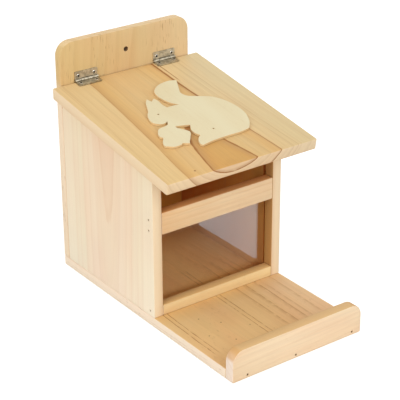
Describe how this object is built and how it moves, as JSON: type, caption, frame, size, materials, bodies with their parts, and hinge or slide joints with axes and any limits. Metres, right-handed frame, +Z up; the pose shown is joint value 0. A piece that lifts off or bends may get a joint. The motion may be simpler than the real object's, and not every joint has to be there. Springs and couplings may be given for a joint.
{
  "type": "squirrel feeder box",
  "caption": "Wooden squirrel feeder box with a hinged sloping lid, clear sliding window, feeding slot and front platform; a squirrel cut-out lies on the lid.",
  "frame": {"origin": "on the surface it stands on, under the middle of its width and of its depth", "axes": "+Z up, -Y towards the feeding platform's front lip, +X on the right hand of a viewer who faces the window from the front"},
  "size_m": [0.168, 0.277, 0.235],
  "materials": {
    "golden_pine": "planed, unfinished, warm golden",
    "pale_pine": "planed, unfinished, pale",
    "frame_pine": "planed, unfinished",
    "platform_pine": "planed, unfinished, tan",
    "plywood": "sanded thin plywood, cream",
    "plated_steel": "nickel-plated steel",
    "clear_acrylic": "clear acrylic sheet"
  },
  "bodies": {
    "housing": {"back_board": "golden_pine", "left_side": "pale_pine", "right_side": "pale_pine", "front_lip": "frame_pine", "top_rail": "frame_pine", "window_sill": "frame_pine", "floor_board": "platform_pine", "lip_nail_left": "plated_steel", "lip_nail_middle": "plated_steel", "lip_nail_right": "plated_steel", "left_rail_nail_lower": "plated_steel", "left_rail_nail_upper": "plated_steel", "left_sill_nail": "plated_steel", "left_back_nail_lower": "plated_steel", "left_back_nail_middle": "plated_steel", "left_back_nail_upper": "plated_steel", "left_floor_nail_front": "plated_steel", "left_floor_nail_rear": "plated_steel", "left_back_floor_nail": "plated_steel", "right_rail_nail_lower": "plated_steel", "right_rail_nail_upper": "plated_steel", "right_sill_nail": "plated_steel", "right_back_nail_lower": "plated_steel", "right_back_nail_middle": "plated_steel", "right_back_nail_upper": "plated_steel", "right_floor_nail_front": "plated_steel", "right_floor_nail_rear": "plated_steel", "right_back_floor_nail": "plated_steel", "left_hinge_board_screw_left": "plated_steel", "left_hinge_board_screw_right": "plated_steel", "right_hinge_board_screw_left": "plated_steel", "right_hinge_board_screw_right": "plated_steel", "left_hinge_pin": "plated_steel", "right_hinge_pin": "plated_steel", "left_hinge_board_leaf": "plated_steel", "right_hinge_board_leaf": "plated_steel"},
    "lid": {"lid_board": "golden_pine", "squirrel_cutout": "plywood", "cutout_nail_head": "plated_steel", "cutout_nail_haunch": "plated_steel", "left_hinge_lid_leaf": "plated_steel", "right_hinge_lid_leaf": "plated_steel", "left_hinge_lid_screw_left": "plated_steel", "left_hinge_lid_screw_right": "plated_steel", "right_hinge_lid_screw_left": "plated_steel", "right_hinge_lid_screw_right": "plated_steel"},
    "window": {"window_pane": "clear_acrylic"}
  },
  "joints": [
    {"name": "lid_hinge", "type": "hinge", "parent": "housing", "child": "lid", "pos_m": [0, 0.1276, 0.19573], "axis": [-1, 0, 0], "range_deg": [0, 100]},
    {"name": "window_slide", "type": "slide", "parent": "housing", "child": "window", "axis": [0, 0, 1], "range_m": [0, 0.04]}
  ]
}
